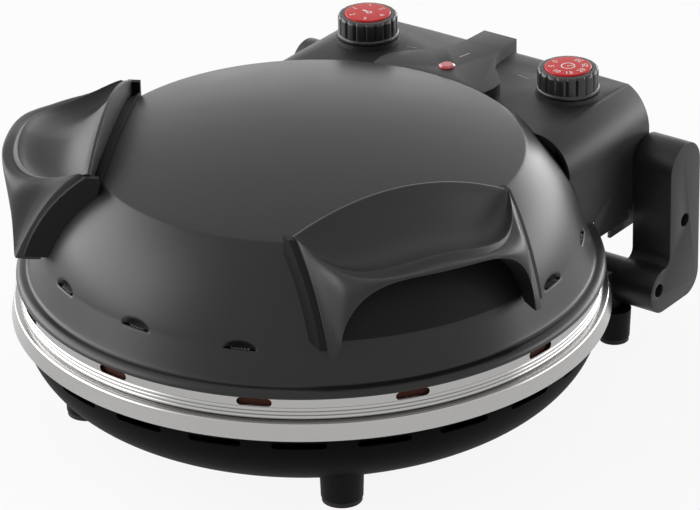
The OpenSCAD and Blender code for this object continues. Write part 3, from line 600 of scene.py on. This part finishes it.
class PIZZA_OT_dome(bpy.types.Operator):
    """Builds the enamelled dome with its pressed louvres"""

    bl_idname = "pizza_maker.dome"
    bl_label = "Dome"

    LOUVRES = (-120.5, -98.0, -25.0, -1.7, 22.0, 96.0, 118.2)   # degrees from the front
    SLIT_Z = 107.4                                              # height of the slits, in millimetres
    HALF, RISE, DEPTH = 10.2, 5.6, 3.6                          # of a louvre, in millimetres

    def execute(self, context):
        look = context.scene.pizza_shell
        bm = spun(self.outline(), closed=False, sectors=self.sectors())
        for turn in self.LOUVRES:
            self.press(bm, math.radians(turn - 90))
        dome = piece("dome", bm, "lid",
                     satin_enamel("dome_enamel", look.enamel, look.enamel_roughness, 0.34),
                     angle=50, replaced=("lid_shell",))
        wall = dome.modifiers.new("wall", "SOLIDIFY")
        wall.thickness, wall.offset = 1.2 * MM, -1
        return {"FINISHED"}

    def outline(self):
        """The dome from its top to its rolled edge: cap, crease, shoulder, wall, groove, flange."""
        return [*arc((0, CAP_Z), CAP_R, 0, 14.22, 26),
                (126.3, 159.15), (127.0, 158.95), (127.6, 158.5),
                *arc(SHOULDER, SHOULDER_R, 37.9, 71.4, 36),
                *arc(SHOULDER, SHOULDER_R, 71.9, 74.99, 6),
                (161.41, self.SLIT_Z), (161.9, 106.0), (163.1, 102.5), (164.9, 97.2), (166.2, 93.4),
                (166.9, 91.5), (167.3, 90.5), (167.9, 89.7), (168.7, 89.3), (169.6, 89.25),
                (170.8, 89.2), (172.0, 88.8), (173.1, 88.0), (173.9, 86.9), (174.3, 85.7), (174.4, 84.6)]

    def sectors(self):
        """Turns round the axis with close steps at the louvres and wide ones between."""
        reach = 4.2
        ends, spans = sorted((t - 90) % 360 for t in self.LOUVRES), []
        at = 0.0
        for middle_turn in ends:
            gap = middle_turn - reach - at
            spans += [(math.radians(gap), max(1, round(gap / 2))), (math.radians(2 * reach), 24)]
            at = middle_turn + reach
        return spans + [(math.radians(360 - at), max(1, round((360 - at) / 2)))]

    def press(self, bm, azimuth):
        """Slits the wall at one louvre and presses the lip above the slit inwards."""
        way = Vector((math.cos(azimuth), math.sin(azimuth), 0))
        side = Vector((-way.y, way.x, 0))
        inward = (-way * 0.95 - Vector((0, 0, 0.31))) * MM
        slit = self.SLIT_Z * MM

        def local(point):
            from_axis = point - Vector((0, AXIS_Y, 0))
            return from_axis.dot(side) / MM, from_axis.dot(way), (point.z - slit) / (0.955 * MM)

        near = [v for v in bm.verts if local(v.co)[1] > 0.1 and abs(local(v.co)[0]) < self.HALF
                and -0.01 < local(v.co)[2] < self.RISE]
        on_slit = {v for v in near if abs(v.co.z - slit) < WELD}
        edges = [e for v in on_slit for e in v.link_edges if e.verts[0] in on_slit and e.verts[1] in on_slit]
        bmesh.ops.split_edges(bm, edges=list(set(edges)))
        for v in bm.verts:
            across, out, up = local(v.co)
            share = 1 - (across / self.HALF) ** 2 - (max(0.0, up) / self.RISE) ** 2
            if out < 0.1 or share <= 0 or up < -0.01:
                continue
            if up < 0.01 and any(f.calc_center_median().z < slit for f in v.link_faces):
                continue
            v.co += inward * self.DEPTH * share ** 0.8


class PIZZA_OT_rings(bpy.types.Operator):
    """Builds the slotted upper ring and the beaded lower band"""

    bl_idname = "pizza_maker.rings"
    bl_label = "Steel rings"

    def execute(self, context):
        look = context.scene.pizza_shell
        steel = rolled_steel("ring_steel", look.steel, look.steel_roughness)
        piece("steel_band", spun(self.band()), "base", steel, angle=35,
              replaced=("base_ring",))
        slots = stadiums(12, -4.5, 172, 81.2, 20.2, 4.8, 8)
        piece("slotted_ring", cut(spun(self.collar()), slots), "lid", steel,
              angle=35, replaced=("lid_ring",))
        # A dark brown band just inside the slotted ring: a painted-shade sheet that makes the slots read
        # dark.
        slot_shade = plain_metal("slot_shade_sheet", (0.055, 0.022, 0.016), 0.6)
        liner = [(169.6, 78.6), (170.4, 78.6), (170.4, 88.2), (169.6, 88.2)]
        piece("slot_shade_liner", spun(liner), "lid", slot_shade)
        return {"FINISHED"}

    def band(self):
        """Section of the lower band: slightly conical, with a rounded shoulder and an inward lip."""
        return [(172.3, 60.0), (178.0, 60.0), (177.9, 60.5), (177.2, 64.0), (176.5, 67.6), (176.4, 68.2),
                *arc((174.9, 68.5), 1.5, 90, 10, 6), (173.6, 70.0), (172.4, 70.35), (171.0, 70.4),
                (167.0, 70.4), (167.0, 69.4), (173.6, 69.3), (175.2, 68.4), (176.6, 61.0), (172.3, 61.0)]

    def collar(self):
        """Section of the upper ring: three fine beads under a flat slotted band."""
        beads = []
        for i in range(3):
            low = 71.1 + 2.35 * i
            beads += [(172.15 + 0.75 * math.sin(math.pi * t) ** 0.7, low + 2.35 * t)
                      for t in (0.0, 0.06, 0.16, 0.3, 0.5, 0.7, 0.84, 0.94)]
        return [(167.0, 70.6), (171.6, 70.6), *beads, (172.15, 78.2), (172.5, 78.5), (172.55, 79.2),
                (172.55, 86.2), (171.6, 86.2), (171.4, 72.2), (167.0, 71.6)]


class PIZZA_OT_bowl(bpy.types.Operator):
    """Builds the slotted bowl and finishes the sheets inside"""

    bl_idname = "pizza_maker.bowl"
    bl_label = "Bowl"

    WALL = 1.5                  # thickness of the bowl's sheet in millimetres

    def execute(self, context):
        look = context.scene.pizza_shell
        turns = [math.pi / 2 * i / 40 for i in range(41)]
        outer, inner = ([(112 + (60 - wall) * math.sin(a), 58 - (47 - wall) * math.cos(a)) for a in turns]
                        for wall in (0, self.WALL))
        shape = spun([(0, 11), *outer, (172, 68.2), (172 - self.WALL, 68.2), *inner[::-1],
                      (0, 11 + self.WALL)], closed=False)
        slots = stadiums(22, 1.0, 169, 53.4, 31.5, 4.4, 16)
        # The bowl's enamel is the dome's colour at half its tone: painted shade for the bowl's place under
        # the dome.
        piece("bowl", cut(shape, slots), "base",
              satin_enamel("bowl_enamel_shaded", tuple(0.5 * c for c in look.enamel), 0.55, 0.03),
              angle=40, replaced=("lower_shell",))
        dress(plain_metal("reflector_sheet", (0.55, 0.56, 0.57), 0.3), "lid_reflector", "lower_reflector")
        return {"FINISHED"}


class PIZZA_OT_inside(bpy.types.Operator):
    """Finishes the stone, the elements and what holds them"""

    bl_idname = "pizza_maker.inside"
    bl_label = "Stone and elements"

    def execute(self, context):
        dress(fired_stone("fired_stone", (0.62, 0.52, 0.40)), "refractory_stone")
        dress(sheath("element_sheath"), "lower_heater", "upper_heater")
        dress(plain_metal("plated_steel", (0.5, 0.5, 0.5), 0.32), "pan_spacers", "lower_heater_clips",
              "upper_heater_clips", "handle_screws")
        dress(gloss("ceramic_white", (0.72, 0.70, 0.64), 0.35), "terminal_block", "lamp_holder")
        dress(plain_metal("unit_case", (0.42, 0.42, 0.43), 0.4), "thermostat_unit", "timer_unit")
        return {"FINISHED"}


class PIZZA_OT_grips(bpy.types.Operator):
    """Builds the two side grips and their saddles"""

    bl_idname = "pizza_maker.grips"
    bl_label = "Side grips"

    TURN = 62                   # degrees from the front to the middle of a grip
    HALF, STATIONS = 66.5, 84   # half a grip's length in mm, and sections along it
    # scoop: share of the way to the lip, share of the drop, depth below the line in mm
    SCOOP = ((0.03, 0.20, 0), (0.07, 0.36, 0), (0.12, 0.50, 0.2), (0.18, 0.63, 0.7), (0.25, 0.76, 1.8),
             (0.33, 0.87, 3.4), (0.43, 0.95, 5.0), (0.54, 0.99, 6.0), (0.66, 1, 6.2), (0.77, 1, 5.4),
             (0.87, 1, 3.7), (0.94, 1, 1.9))
    RIM, FOOT = 112.0, 114.0    # where a saddle starts from the axis, and its lowest height, in mm

    def execute(self, context):
        look = context.scene.pizza_shell
        skin = moulded_plastic("grip_plastic", look.plastic, 0.45, 0.36)
        # The saddles and the grips' backs take the grip plastic at half its tone: painted shade for the
        # recess under and behind each grip.
        shaded_plastic = moulded_plastic("saddle_plastic", tuple(0.5 * c for c in look.plastic), 0.55, 0.15)
        for side, sign in (("left", -1), ("right", 1)):
            made = piece("grip_" + side, self.grip(sign), "lid",
                         skin, angle=50, replaced=("handle_" + side,))
            made.data.materials.append(shaded_plastic)
            base = "handle_base_" + side
            piece("saddle_" + side, self.saddle(base, sign), "lid",
                  shaded_plastic, angle=30, replaced=(base,))
        return {"FINISHED"}

    def grip(self, side):
        """A loft of sections along the grip: one ring of points, extruded from station to station."""
        turn = math.radians(self.TURN)
        out = Vector((side * math.sin(turn), -math.cos(turn), 0))
        along = Vector((side * math.cos(turn), math.sin(turn), 0))
        bm = bmesh.new()
        ring = []
        for i in range(self.STATIONS + 1):
            u = self.HALF * math.sin(math.pi * (i / self.STATIONS - 0.5))
            spots = [Vector((0, AXIS_Y, z * MM)) + out * v * MM + along * u * MM for v, z in self.section(u)]
            if not ring:
                ring = [bm.verts.new(spot) for spot in spots]
                edges = [bm.edges.new(pair) for pair in zip(ring, ring[1:] + ring[:1])]
                continue
            made = bmesh.ops.extrude_edge_only(bm, edges=edges)["geom"]
            fresh = {g for g in made if isinstance(g, bmesh.types.BMVert)}
            edges = [g for g in made if isinstance(g, bmesh.types.BMEdge) and set(g.verts) <= fresh]
            ring = [next(e.other_vert(v) for e in v.link_edges if e.other_vert(v) in fresh) for v in ring]
            for v, spot in zip(ring, spots):
                v.co = spot
        bmesh.ops.holes_fill(bm, edges=[e for e in bm.edges if e.is_boundary])
        bmesh.ops.recalc_face_normals(bm, faces=bm.faces)
        for f in bm.faces:
            # Faces turned to the dome take the half-tone plastic: painted shade on the wall behind the rim.
            if f.normal.dot(out) < -0.75:       # the back towards the dome is left dull
                f.material_index = 1
        return bm

    def section(self, u):
        """Section of a grip at a distance from its middle: seat, rim, scoop, lip, face, underside."""
        t = abs(u) / self.HALF
        reach = 4 + 50 * max(0.0, 1 - t ** 3) ** 0.78
        rim = (119.0, 182.5 - 15.5 * t * t)
        lip = (rim[0] + reach, 160 - 11 * t ** 1.6 + 18 * t ** 6)
        corner = min(1.0, max(0.0, (t - 0.85) / 0.15))
        corner = corner * corner * (3 - 2 * corner)
        flare = 18 * t ** 2.2
        bend = ((181.5 - flare) * (1 - corner) + 146 * corner,
                (160 - 2 * t * t) * (1 - corner) + 152.5 * corner)
        rise = max(0.0, 1 - min(1.0, abs(u) / 61.5) ** 4) ** 0.55
        foot = (179.5 - flare + 2 * corner, 111 + 46.5 * rise)
        low = foot[1] - 11 * rise
        centre_r, centre_z = SHOULDER
        inner = math.sqrt((centre_r + math.sqrt((SHOULDER_R + SEAT) ** 2 - (low - centre_z) ** 2)) ** 2
                          - u * u)

        def seat(v):
            """Height of the grip's seat over the dome, at a distance from the axis."""
            r = math.hypot(u, v)
            if r < CREASE_R:
                return math.sqrt((CAP_R + SEAT) ** 2 - r * r) + CAP_Z
            return centre_z + math.sqrt(max(0.0, (SHOULDER_R + SEAT) ** 2 - (r - centre_r) ** 2))

        back = 116.7
        points = [(inner + (back - inner) * i / 8, seat(inner + (back - inner) * i / 8)) for i in range(9)]
        points += eased((back, seat(back)), (117.0, rim[1] - 0.1), (119.0, rim[1]), 0.5)
        band = (1 - t ** 5) * reach / 54
        edge = (lip[0] - 3.0 * band, lip[1] + 3.2 * band)
        points += eased((117.0, rim[1] - 0.1), (119.0, rim[1]), (119.6, rim[1] - 1.5), 0.3)
        for share, drop, sag in self.SCOOP:
            points.append((119.1 + (edge[0] - 119.1) * share,
                           rim[1] + (edge[1] - rim[1]) * drop - sag * reach / 54))
        points += eased(points[-1], edge, lip, 0.6)
        points += eased(edge, lip, bend, 0.5)
        points += [tuple((1 - f) ** 2 * a + 2 * f * (1 - f) * b + f * f * c
                         for a, b, c in zip(lip, bend, foot))
                   for f in (0.16, 0.3, 0.45, 0.6, 0.75, 0.88)]
        under = [(foot[0] + f * (inner - foot[0]), foot[1] + f * (low - foot[1])
                  - (0.3 + rise) * math.sin(math.pi * f)) for f in (0.12, 0.35, 0.6, 0.85)]
        points += eased(points[-1], foot, under[0], 0.5)
        return points + under

    def saddle(self, node, side):
        """The saddle cut back to the rim of its grip and to the height where its foot ends."""
        bm = merged(node)
        turn = math.radians(self.TURN)
        way = Vector((side * math.sin(turn), -math.cos(turn), 0))
        rim = Vector((0, AXIS_Y, 0)) + way * self.RIM * MM
        for point, normal in ((rim, -way), (Vector((0, 0, self.FOOT * MM)), Vector((0, 0, -1)))):
            made = bmesh.ops.bisect_plane(bm, geom=[*bm.verts, *bm.edges, *bm.faces], dist=1e-7,
                                          plane_co=point, plane_no=normal, clear_outer=True)
            rim_edges = [g for g in made["geom_cut"] if isinstance(g, bmesh.types.BMEdge)]
            bmesh.ops.holes_fill(bm, edges=[e for e in rim_edges if e.is_boundary])
        bmesh.ops.remove_doubles(bm, verts=bm.verts, dist=WELD)
        bmesh.ops.recalc_face_normals(bm, faces=bm.faces)
        return bm


class PIZZA_OT_console(bpy.types.Operator):
    """Builds the console housing with its printed marks and lens"""

    bl_idname = "pizza_maker.console"
    bl_label = "Console"

    def execute(self, context):
        look = context.scene.pizza_shell
        skin = moulded_plastic("console_plastic", look.plastic, 0.42, 0.32)
        softened("console", "console_housing", look.edge, skin)
        dress(skin, "console_base", "cord_inlet")
        dress(clear_red("lens_red"), "indicator_lens")
        ink = gloss("mark_ink", (0.34, 0.34, 0.34), 0.5)
        marks = bmesh.new()
        for start, end, height, width in self.MARKS:
            self.dash(marks, start, end, height, width)
        piece("console_marks", marks, BODY_OF["console_housing"], ink, angle=20)
        return {"FINISHED"}

    # printed dashes: start and end from the dome's axis, height, width, in millimetres
    MARKS = (((-48.4, 167.3), (-40.6, 168.2), 151.0, 0.5), ((33.2, 169.4), (42.5, 167.8), 151.0, 0.5),
             ((-1.5, 157.7), (0.3, 165.8), 158.5, 0.8))

    def dash(self, bm, start, end, height, width):
        """Adds a thin printed line on an even surface."""
        run = Vector(end) - Vector(start)
        mid = (Vector(start) + Vector(end)) / 2
        place = Matrix.Translation((mid.x * MM, AXIS_Y + mid.y * MM, (height + 0.02) * MM)) \
            @ Matrix.Rotation(math.atan2(run.y, run.x), 4, "Z")
        slab(bm, (run.length * MM, width * MM, 0.05 * MM), place)


class PIZZA_OT_arms(bpy.types.Operator):
    """Builds the arms, the feet and the hinge hardware"""

    bl_idname = "pizza_maker.arms"
    bl_label = "Arms, feet and hinge"

    def execute(self, context):
        look = context.scene.pizza_shell
        skin = moulded_plastic("arm_plastic", look.plastic, 0.42, 0.32)
        under = moulded_plastic("foot_plastic", tuple(0.5 * c for c in look.plastic), 0.6, 0.1)
        for side in ("left", "right"):
            softened("side_arm_" + side, "arm_" + side, look.edge, skin)
        dress(skin, "hinge_block_left", "hinge_block_right")
        dress(under, "front_feet", "rear_feet")
        dress(moulded_plastic("pad_rubber", (0.02, 0.02, 0.02), 0.75, 0.3), "foot_pads")
        dress(plain_metal("hinge_steel", (0.70, 0.70, 0.71), 0.2), "hinge_bracket_left",
              "hinge_bracket_right", "hinge_pins", "arm_screws", "console_screws",
              "thermostat_shaft", "timer_shaft")
        return {"FINISHED"}


class PIZZA_OT_knobs(bpy.types.Operator):
    """Builds the two knobs, their red discs and the figures"""

    bl_idname = "pizza_maker.knobs"
    bl_label = "Knobs and dials"

    TALL, DISC, INK = 14.0, 14.2, 0.05      # knob's height, disc's radius, ink's thickness in millimetres
    TOWARDS_CAMERA = 36.21                  # degrees: the dials are set square to the photograph

    def execute(self, context):
        look = context.scene.pizza_dial
        black = gloss("knob_black", (0.010, 0.010, 0.010), 0.3)
        red = gloss("disc_red", look.red, 0.25, specular=0.3)
        ink = gloss("dial_ink", (0.80, 0.72, 0.70), 0.5)
        for side, body in (("thermostat", "thermostat_dial"), ("timer", "timer_dial")):
            knob = side + "_knob"
            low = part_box(knob)[0].z / MM
            spot = middle(knob)
            piece(side + "_grip", self.grip(spot, low, look.ribs), body, black, angle=40,
                  replaced=(knob,))
            face = [(0, self.TALL - 1.2), (self.DISC, self.TALL - 1.2), (self.DISC, self.TALL + 0.35),
                    (self.DISC - 0.15, self.TALL + 0.6), (self.DISC - 0.5, self.TALL + 0.8),
                    (self.DISC - 1, self.TALL + 0.85), (0, self.TALL + 0.85)]
            face = spun([(r, low + z) for r, z in face], centre=spot.xy, closed=False, sectors=((TAU, 96),))
            piece(side + "_face", face, body, red, replaced=(side + "_disc",))
            print_on = Matrix.Translation((spot.x, spot.y, (low + self.TALL + 0.87) * MM))
            figures = self.scale(side, print_on, look.figure)
            piece(side + "_figures", figures, body, ink, angle=20)
        return {"FINISHED"}

    def grip(self, spot, low, ribs):
        """A collar and a ribbed barrel with a rounded top rim and a recess for the disc."""
        levels = [(17.4, 0.0, 0), (18.7, 0.0, 0), (19.1, 0.4, 0), (19.1, 1.9, 0), (18.8, 2.3, 0),
                  (18.5, 2.45, 0.0), (18.5, 2.7, 1.0), (18.5, 12.0, 1.0), (18.3, 12.9, 0.95),
                  (17.8, 13.6, 0.7), (17.1, 13.95, 0.2), (16.4, 14.0, 0), (14.7, 14.0, 0),
                  (14.35, 13.7, 0), (14.35, 12.6, 0), (0.0, 12.6, 0)]
        bm = bmesh.new()
        ring = bmesh.ops.create_circle(bm, segments=12 * ribs, radius=1)["verts"]
        edges = list(bm.edges)
        turns = {v: math.atan2(v.co.y, v.co.x) for v in ring}
        for step, (radius, height, groove) in enumerate(levels):
            if step:
                made = bmesh.ops.extrude_edge_only(bm, edges=edges)["geom"]
                edges = [g for g in made if isinstance(g, bmesh.types.BMEdge)
                         and all(v in made for v in g.verts) and g.is_boundary]
                ring = [g for g in made if isinstance(g, bmesh.types.BMVert)]
                turns = {v: math.atan2(v.co.y - spot.y, v.co.x - spot.x) for v in ring}
            for v, turn in turns.items():
                out = radius - groove * max(0.0, math.cos(ribs * turn)) ** 3
                v.co = (spot.x + max(out, 0.01) * MM * math.cos(turn),
                        spot.y + max(out, 0.01) * MM * math.sin(turn), (low + height) * MM)
        bmesh.ops.holes_fill(bm, edges=[e for e in bm.edges if e.is_boundary])
        bmesh.ops.recalc_face_normals(bm, faces=bm.faces)
        return bm

    def scale(self, side, print_on, height):
        """The disc's figures and its middle mark, as thin solids of ink."""
        bm = bmesh.new()
        around = {"thermostat": [("1", 141), ("2", 200), ("3", 259), ("4", 328), ("5", 28)],
                  "timer": [("0", 137), ("5", 180), ("10", 225), ("15", 270), ("20", 318), ("25", 3),
                            ("30", 48)]}[side]
        for words, turn in around:
            place = print_on @ Matrix.Rotation(math.radians(turn + 90 + self.TOWARDS_CAMERA), 4, "Z") \
                @ Matrix.Translation((0, -10.3 * MM, 0))
            figure(bm, words, height, self.INK * MM, place)
        facing = print_on @ Matrix.Rotation(math.radians(self.TOWARDS_CAMERA), 4, "Z")
        if side == "timer":
            self.hoop(bm, facing, 0, 0, 4.4, 3.7)
            self.bar(bm, facing, 3.4, 0.7, 1.3, 0.5, 0)
            self.bar(bm, facing, 2.0, 0.7, 0.4, 0, 60)
        else:
            self.hoop(bm, facing, 0.9, -0.6, 1.9, 1.0)
            self.bar(bm, facing, 4.2, 1.5, -1.4, 1.9, -42)
            self.hoop(bm, facing, 1.6, 10.8, 0.7, 0.1)
        return bm

    def bar(self, bm, facing, length, width, x, y, turn):
        """Adds a flat bar of ink: its sizes and place in millimetres, and its turn in degrees."""
        slab(bm, (length * MM, width * MM, self.INK * MM), facing
             @ Matrix.Translation((x * MM, y * MM, 0)) @ Matrix.Rotation(math.radians(turn), 4, "Z"))

    def hoop(self, bm, facing, x, y, outer, inner):
        """Adds a flat ring of ink."""
        at = facing @ Vector((x * MM, y * MM, 0))
        low, high = at.z / MM - self.INK / 2, at.z / MM + self.INK / 2
        ring = spun([(inner, low), (outer, low), (outer, high), (inner, high)], centre=at.xy,
                    sectors=((TAU, 40),))
        mesh = bpy.data.meshes.new("hoop")
        ring.to_mesh(mesh)
        ring.free()
        bm.from_mesh(mesh)
        bpy.data.meshes.remove(mesh)


class PIZZA_PT_panel(bpy.types.Panel):
    """Lists the sizes, the colours and the operators"""

    bl_idname = "PIZZA_PT_panel"
    bl_label = "Pizza Maker"
    bl_space_type = "VIEW_3D"
    bl_region_type = "UI"
    bl_category = "Pizza Maker"

    def draw(self, context):
        layout = self.layout
        for group in GROUPS:
            box = layout.box()
            look = getattr(context.scene, group)
            for key in GROUPS[group].__annotations__:
                box.prop(look, key)
        for operator in OPERATORS:
            layout.operator(operator.bl_idname)


GROUPS = {"pizza_stage": StageLook, "pizza_shell": ShellLook, "pizza_dial": DialLook}
OPERATORS = (PIZZA_OT_stage, PIZZA_OT_dome, PIZZA_OT_rings, PIZZA_OT_bowl, PIZZA_OT_inside,
             PIZZA_OT_grips, PIZZA_OT_console, PIZZA_OT_arms, PIZZA_OT_knobs)
CLASSES = (*GROUPS.values(), *OPERATORS, PIZZA_PT_panel)


def register():
    for item in CLASSES:
        bpy.utils.register_class(item)
    for name, group in GROUPS.items():
        setattr(bpy.types.Scene, name, PointerProperty(type=group))


def unregister():
    for name in GROUPS:
        delattr(bpy.types.Scene, name)
    for item in reversed(CLASSES):
        bpy.utils.unregister_class(item)


def main():
    register()
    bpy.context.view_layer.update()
    for operator in OPERATORS:
        group, name = operator.bl_idname.split(".")
        getattr(getattr(bpy.ops, group), name)()


if __name__ == "__main__":
    main()
